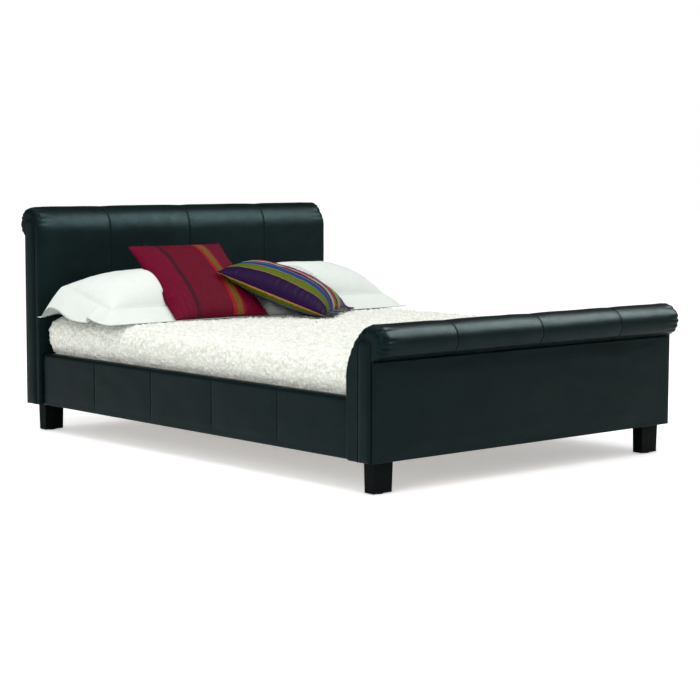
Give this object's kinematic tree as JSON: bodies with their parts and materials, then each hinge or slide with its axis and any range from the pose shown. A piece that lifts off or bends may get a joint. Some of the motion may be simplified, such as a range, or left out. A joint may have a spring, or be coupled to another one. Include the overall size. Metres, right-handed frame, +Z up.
{
  "type": "sleigh bed",
  "caption": "Upholstered leather sleigh bed, king size, with rolled head and foot ends, padded side rails, block legs and slatted base, dressed with bedspread, pillows and scatter cushions.",
  "frame": {"origin": "centre of the bed's outline on the floor", "axes": "+Z up, +Y towards the head end, +X to the right seen from the foot end"},
  "size_m": [1.68, 2.3627, 0.977],
  "materials": {
    "birch_slat": "satin",
    "black_leather": "satin",
    "black_nylon": "matte",
    "black_rubber": "matte",
    "black_steel": "satin",
    "ivory_fleece": "matte",
    "mattress_ticking": "matte",
    "paper_tube": "matte",
    "pine": "matte",
    "plywood": "matte",
    "red_weave": "matte",
    "stained_leg_wood": "satin",
    "striped_weave": "matte",
    "tassel_yarn": "matte",
    "upholstery_foam": "matte",
    "white_cotton": "matte",
    "zinc_steel": "satin"
  },
  "bodies": {
    "bed_frame": {"bracket_bolts": "zinc_steel", "bracket_screws": "zinc_steel", "centre_leg_plugs": "black_nylon", "centre_legs": "black_steel", "centre_rail": "pine", "centre_rail_hangers": "black_steel", "footboard_cover": "black_leather", "footboard_cross_rails": "pine", "footboard_end_panel_left": "black_leather", "footboard_end_panel_right": "black_leather", "footboard_foam": "upholstery_foam", "footboard_front_board": "plywood", "footboard_leg_left": "stained_leg_wood", "footboard_leg_right": "stained_leg_wood", "footboard_panel": "black_leather", "footboard_piping": "black_leather", "footboard_posts": "pine", "footboard_roll_tube": "paper_tube", "footboard_tube_saddles": "plywood", "headboard_cover": "black_leather", "headboard_cross_rails": "pine", "headboard_end_panel_left": "black_leather", "headboard_end_panel_right": "black_leather", "headboard_foam": "upholstery_foam", "headboard_front_board": "plywood", "headboard_leg_left": "stained_leg_wood", "headboard_leg_right": "stained_leg_wood", "headboard_panel": "black_leather", "headboard_piping": "black_leather", "headboard_posts": "pine", "headboard_roll_tube": "paper_tube", "headboard_tube_saddles": "plywood", "leg_bolts": "zinc_steel", "leg_glides": "black_nylon", "rail_brackets": "black_steel", "side_rail_board_left": "pine", "side_rail_board_right": "pine", "side_rail_cover_left": "black_leather", "side_rail_cover_right": "black_leather", "side_rail_foam_left": "upholstery_foam", "side_rail_foam_right": "upholstery_foam", "slat_centre_caps": "black_rubber", "slat_end_caps_left": "black_rubber", "slat_end_caps_right": "black_rubber", "slat_ledge_left": "pine", "slat_ledge_right": "pine", "slats_left": "birch_slat", "slats_right": "birch_slat"},
    "mattress": {"mattress": "mattress_ticking", "bedspread": "ivory_fleece"},
    "pillow_left": {"pillow_left": "white_cotton"},
    "pillow_right": {"pillow_right": "white_cotton"},
    "cushion_red": {"cushion_red": "red_weave"},
    "cushion_striped": {"cushion_striped": "striped_weave", "cushion_fringe": "tassel_yarn"},
    "levelling_foot_front": {"levelling_foot_front": "black_nylon"},
    "levelling_foot_rear": {"levelling_foot_rear": "black_nylon"}
  },
  "joints": [
    {"name": "mattress_lift", "type": "slide", "parent": "bed_frame", "child": "mattress", "axis": [0, 0, 1], "range_m": [0, 0.3]},
    {"name": "pillow_right_lift", "type": "slide", "parent": "mattress", "child": "pillow_right", "axis": [0, 0, 1], "range_m": [0, 0.25]},
    {"name": "pillow_left_lift", "type": "slide", "parent": "pillow_right", "child": "pillow_left", "axis": [0, 0, 1], "range_m": [0, 0.25]},
    {"name": "cushion_red_lift", "type": "slide", "parent": "pillow_left", "child": "cushion_red", "axis": [0, 0, 1], "range_m": [0, 0.25]},
    {"name": "cushion_striped_lift", "type": "slide", "parent": "cushion_red", "child": "cushion_striped", "axis": [0, 0, 1], "range_m": [0, 0.25]},
    {"name": "levelling_front_screw", "type": "slide", "parent": "bed_frame", "child": "levelling_foot_front", "axis": [0, 0, 1], "range_m": [0, 0.01]},
    {"name": "levelling_rear_screw", "type": "slide", "parent": "bed_frame", "child": "levelling_foot_rear", "axis": [0, 0, 1], "range_m": [0, 0.01]}
  ]
}
